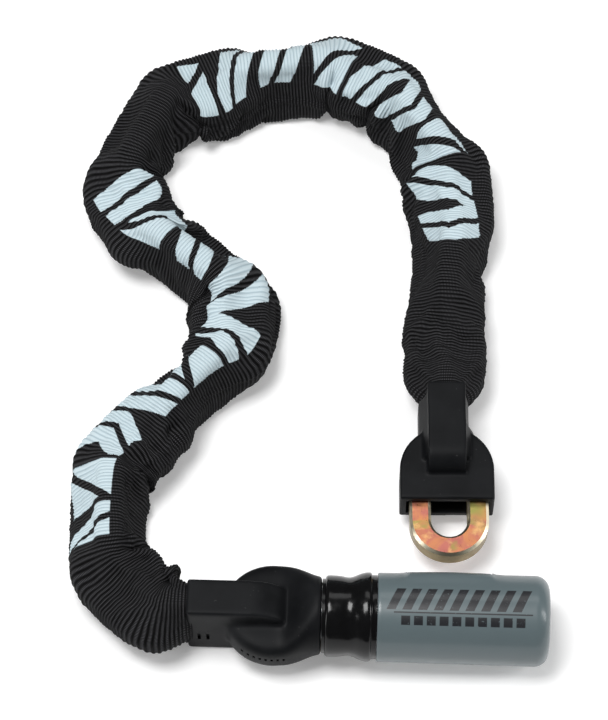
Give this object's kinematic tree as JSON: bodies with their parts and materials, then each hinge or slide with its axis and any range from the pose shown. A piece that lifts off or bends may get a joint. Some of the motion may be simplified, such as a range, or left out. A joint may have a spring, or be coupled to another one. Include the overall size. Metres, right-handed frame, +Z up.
{
  "type": "chain lock",
  "caption": "Square-bar chain in a ribbed fabric sleeve, with a barrel cylinder lock on one end and a bare U-shaped end link that plugs into the barrel's slot.",
  "frame": {"origin": "centre of the footprint, on the surface the lock lies on", "axes": "+X along the barrel towards the key end, +Y the way the end link's slot faces, +Z up"},
  "size_m": [0.2045, 0.3057, 0.0374],
  "materials": {
    "chain_steel": "zinc plated, dull",
    "end_link_zinc": "yellow zinc, iridescent",
    "barrel_steel": "machined",
    "pin_steel": "ground",
    "brass": "machined",
    "cover_grey": "glossy moulded",
    "collar_black": "glossy moulded",
    "dust_plastic": "matt moulded",
    "boot_rubber": "matt moulded",
    "sleeve_fabric": "ribbed webbing with a pale print"
  },
  "bodies": {
    "root": {"barrel_shell": "barrel_steel", "barrel_cover": "cover_grey", "collar": "collar_black", "anchor_plug": "barrel_steel", "anchor_pin": "pin_steel", "core_housing": "barrel_steel", "cam_bush": "brass", "detent_ball": "pin_steel", "detent_spring": "pin_steel", "front_plate": "pin_steel", "cross_pins": "pin_steel", "lock_boot": "boot_rubber", "anchor_link": "chain_steel", "lock_neck_link": "chain_steel", "sleeve_lock_end": "sleeve_fabric"},
    "chain_01": {"link_01": "chain_steel", "sleeve_01": "sleeve_fabric"},
    "chain_02": {"link_02": "chain_steel", "sleeve_02": "sleeve_fabric"},
    "chain_03": {"link_03": "chain_steel", "sleeve_03": "sleeve_fabric"},
    "chain_04": {"link_04": "chain_steel", "sleeve_04": "sleeve_fabric"},
    "chain_05": {"link_05": "chain_steel", "sleeve_05": "sleeve_fabric"},
    "chain_06": {"link_06": "chain_steel", "sleeve_06": "sleeve_fabric"},
    "chain_07": {"link_07": "chain_steel", "sleeve_07": "sleeve_fabric"},
    "chain_08": {"link_08": "chain_steel", "sleeve_08": "sleeve_fabric"},
    "chain_09": {"link_09": "chain_steel", "sleeve_09": "sleeve_fabric"},
    "chain_10": {"link_10": "chain_steel", "sleeve_10": "sleeve_fabric"},
    "chain_11": {"link_11": "chain_steel", "sleeve_11": "sleeve_fabric"},
    "chain_12": {"link_12": "chain_steel", "sleeve_12": "sleeve_fabric"},
    "chain_13": {"link_13": "chain_steel", "sleeve_13": "sleeve_fabric"},
    "chain_14": {"link_14": "chain_steel", "sleeve_14": "sleeve_fabric"},
    "chain_15": {"link_15": "chain_steel", "sleeve_15": "sleeve_fabric"},
    "chain_end": {"sleeve_link_end": "sleeve_fabric", "end_neck_link": "chain_steel", "end_link": "end_link_zinc", "end_boot": "boot_rubber"},
    "core": {"cylinder_core": "brass", "code_discs": "brass", "disc_spacers": "pin_steel", "sidebar": "pin_steel", "locking_cam": "pin_steel"},
    "dust_disc": {"dust_cover": "dust_plastic"}
  },
  "joints": [
    {"name": "chain_turn_01", "type": "hinge", "parent": "root", "child": "chain_01", "pos_m": [-0.05972, -0.13249, 0.0175], "axis": [0, 0, 1], "range_deg": [-2, 15]},
    {"name": "chain_turn_02", "type": "hinge", "parent": "chain_01", "child": "chain_02", "pos_m": [-0.07947, -0.11408, 0.0175], "axis": [0, 0, -1], "range_deg": [-15, 2]},
    {"name": "chain_turn_03", "type": "hinge", "parent": "chain_02", "child": "chain_03", "pos_m": [-0.08116, -0.06561, 0.0175], "axis": [0, 0, 1], "range_deg": [-2, 15]},
    {"name": "chain_turn_04", "type": "hinge", "parent": "chain_03", "child": "chain_04", "pos_m": [-0.0638, -0.04492, 0.0175], "axis": [0, 0, -1], "range_deg": [-15, 2]},
    {"name": "chain_turn_05", "type": "hinge", "parent": "chain_04", "child": "chain_05", "pos_m": [-0.03263, -0.00777, 0.0175], "axis": [0, 0, 1], "range_deg": [-3, 15]},
    {"name": "chain_turn_06", "type": "hinge", "parent": "chain_05", "child": "chain_06", "pos_m": [-0.03545, 0.01908, 0.0175], "axis": [0, 0, -1], "range_deg": [-15, 3]},
    {"name": "chain_turn_07", "type": "hinge", "parent": "chain_06", "child": "chain_07", "pos_m": [-0.07419, 0.04827, 0.0175], "axis": [0, 0, 1], "range_deg": [-2, 15]},
    {"name": "chain_turn_08", "type": "hinge", "parent": "chain_07", "child": "chain_08", "pos_m": [-0.0843, 0.0733, 0.0175], "axis": [0, 0, -1], "range_deg": [-15, 2]},
    {"name": "chain_turn_09", "type": "hinge", "parent": "chain_08", "child": "chain_09", "pos_m": [-0.06457, 0.11761, 0.0175], "axis": [0, 0, 1], "range_deg": [-2, 15]},
    {"name": "chain_turn_10", "type": "hinge", "parent": "chain_09", "child": "chain_10", "pos_m": [-0.03937, 0.12729, 0.0175], "axis": [0, 0, -1], "range_deg": [-15, 3]},
    {"name": "chain_turn_11", "type": "hinge", "parent": "chain_10", "child": "chain_11", "pos_m": [0.00854, 0.13487, 0.0175], "axis": [0, 0, 1], "range_deg": [-8, 15]},
    {"name": "chain_turn_12", "type": "hinge", "parent": "chain_11", "child": "chain_12", "pos_m": [0.03301, 0.12346, 0.0175], "axis": [0, 0, -1], "range_deg": [-15, 15]},
    {"name": "chain_turn_13", "type": "hinge", "parent": "chain_12", "child": "chain_13", "pos_m": [0.06083, 0.08374, 0.0175], "axis": [0, 0, 1], "range_deg": [-15, 15]},
    {"name": "chain_turn_14", "type": "hinge", "parent": "chain_13", "child": "chain_14", "pos_m": [0.06271, 0.0568, 0.0175], "axis": [0, 0, -1], "range_deg": [-15, 15]},
    {"name": "chain_turn_15", "type": "hinge", "parent": "chain_14", "child": "chain_15", "pos_m": [0.05848, 0.00849, 0.0175], "axis": [0, 0, 1], "range_deg": [-15, 15]},
    {"name": "chain_turn_16", "type": "hinge", "parent": "chain_15", "child": "chain_end", "pos_m": [0.05848, -0.01851, 0.0175], "axis": [0, 0, -1], "range_deg": [-15, 15]},
    {"name": "core_turn", "type": "hinge", "parent": "root", "child": "core", "pos_m": [0.08618, -0.13249, 0.0187], "axis": [1, 0, 0], "range_deg": [0, 90]},
    {"name": "dust_cover_turn", "type": "hinge", "parent": "root", "child": "dust_disc", "pos_m": [0.10058, -0.13249, 0.0187], "axis": [1, 0, 0], "range_deg": [0, 90]}
  ]
}
